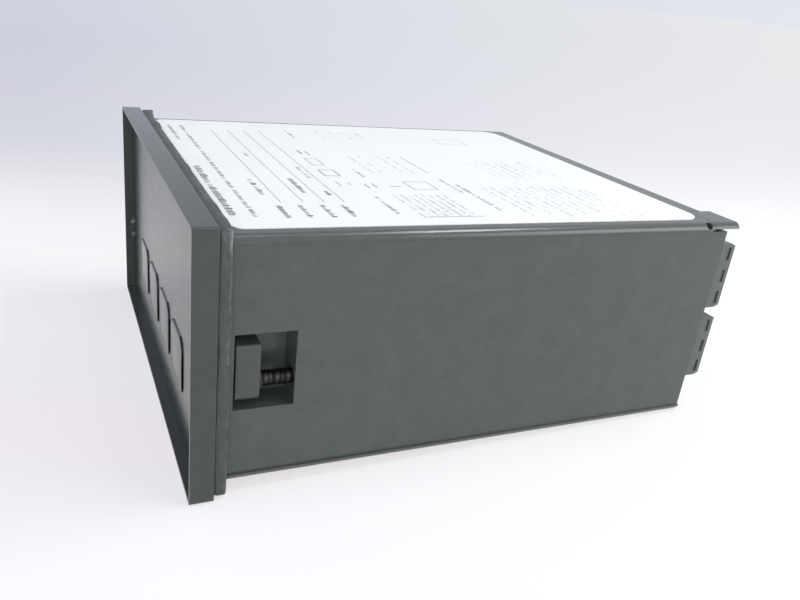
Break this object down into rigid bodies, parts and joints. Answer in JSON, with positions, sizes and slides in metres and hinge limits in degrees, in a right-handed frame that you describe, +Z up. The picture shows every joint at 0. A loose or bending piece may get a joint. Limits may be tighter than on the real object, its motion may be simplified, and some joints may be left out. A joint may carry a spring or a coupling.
{
  "type": "digital panel meter",
  "caption": "Rectangular panel instrument with a dark recessed front, a row of keys, a deep closed case with swinging panel pawls, and stacked plug-in terminals at the rear.",
  "frame": {"origin": "centre of the panel seat, the plane of the gasket's rear face", "axes": "+Y from the panel towards the rear of the case, so the front looks along -Y; +Z up; +X to the right seen from the front"},
  "size_m": [0.096, 0.1143, 0.048],
  "materials": {
    "shell_plastic": "dark grey moulded plastic, fine satin texture",
    "window_plastic": "dark semi-gloss filter sheet",
    "gasket_rubber": "black soft rubber, whitish where rubbed",
    "label_film": "white printed film",
    "pawl_plastic": "dark moulded plastic",
    "steel": "blackened steel",
    "brass": "dull plain brass",
    "key_rubber": "dark grey rubber keys",
    "nylon": "natural nylon",
    "board": "green lacquered glass laminate",
    "digit_plastic": "dark-faced moulded digit modules",
    "chip_plastic": "black moulded packages",
    "core_steel": "varnished laminations",
    "copper_wire": "enamelled copper winding",
    "can_sleeve": "shrunk plastic sleeve on a metal can",
    "fuse_plastic": "brown moulded cap",
    "varistor_resin": "blue dipped resin",
    "header_plastic": "green moulded shroud",
    "plug_plastic": "dark moulded plug"
  },
  "bodies": {
    "housing": {"case": "shell_plastic", "front_window": "window_plastic", "gasket": "gasket_rubber", "label": "label_film", "rear_cover": "shell_plastic", "thread_insert_right": "brass", "thread_insert_left": "brass", "key_switches": "chip_plastic", "display_board": "board", "digit_modules": "digit_plastic", "board_links": "chip_plastic", "power_board": "board", "signal_board": "board", "transformer_core": "core_steel", "transformer_bobbin": "nylon", "transformer_winding": "copper_wire", "capacitors": "can_sleeve", "fuse": "fuse_plastic", "varistor": "varistor_resin", "rectifier": "chip_plastic", "regulator": "chip_plastic", "optocouplers": "chip_plastic", "processor": "chip_plastic", "converter": "chip_plastic", "crystal": "steel", "plug_headers": "header_plastic", "header_pins": "steel", "plug_upper": "plug_plastic", "plug_lower": "plug_plastic", "terminal_contacts": "brass", "terminal_screws": "steel"},
    "washer_right": {"thrust_washer_right": "steel"},
    "screw_right": {"clamp_screw_right": "steel", "screw_clip_right": "steel"},
    "pawl_right": {"pawl_right": "pawl_plastic"},
    "washer_left": {"thrust_washer_left": "steel"},
    "screw_left": {"clamp_screw_left": "steel", "screw_clip_left": "steel"},
    "pawl_left": {"pawl_left": "pawl_plastic"},
    "key_1": {"key_1": "key_rubber", "plunger_1": "nylon"},
    "key_2": {"key_2": "key_rubber", "plunger_2": "nylon"},
    "key_3": {"key_3": "key_rubber", "plunger_3": "nylon"},
    "key_4": {"key_4": "key_rubber", "plunger_4": "nylon"}
  },
  "joints": [
    {"name": "clamp_feed_right", "type": "slide", "parent": "housing", "child": "washer_right", "axis": [0, 1, 0], "range_m": [0, 0.00444]},
    {"name": "clamp_screw_turn_right", "type": "hinge", "parent": "washer_right", "child": "screw_right", "pos_m": [0.0429, 0, -0.004], "axis": [0, 1, 0], "range_deg": [0, 2520]},
    {"name": "pawl_swing_right", "type": "hinge", "parent": "washer_right", "child": "pawl_right", "pos_m": [0.0429, 0, -0.004], "axis": [0, 1, 0], "range_deg": [0, 90]},
    {"name": "clamp_feed_left", "type": "slide", "parent": "housing", "child": "washer_left", "axis": [0, 1, 0], "range_m": [0, 0.00444]},
    {"name": "clamp_screw_turn_left", "type": "hinge", "parent": "washer_left", "child": "screw_left", "pos_m": [-0.0429, 0, 0.004], "axis": [0, 1, 0], "range_deg": [0, 2520]},
    {"name": "pawl_swing_left", "type": "hinge", "parent": "washer_left", "child": "pawl_left", "pos_m": [-0.0429, 0, 0.004], "axis": [0, 1, 0], "range_deg": [0, 90]},
    {"name": "key_press_1", "type": "slide", "parent": "housing", "child": "key_1", "axis": [0, 1, 0], "range_m": [0, 0.0003], "stiffness_N_per_m": 1500, "springref_m": -0.0003},
    {"name": "key_press_2", "type": "slide", "parent": "housing", "child": "key_2", "axis": [0, 1, 0], "range_m": [0, 0.0003], "stiffness_N_per_m": 1500, "springref_m": -0.0003},
    {"name": "key_press_3", "type": "slide", "parent": "housing", "child": "key_3", "axis": [0, 1, 0], "range_m": [0, 0.0003], "stiffness_N_per_m": 1500, "springref_m": -0.0003},
    {"name": "key_press_4", "type": "slide", "parent": "housing", "child": "key_4", "axis": [0, 1, 0], "range_m": [0, 0.0003], "stiffness_N_per_m": 1500, "springref_m": -0.0003}
  ],
  "couplings": [
    {"joint": "clamp_screw_turn_right", "follows": "clamp_feed_right", "rad_per_m": 9894.8},
    {"joint": "clamp_screw_turn_left", "follows": "clamp_feed_left", "rad_per_m": 9894.8}
  ]
}
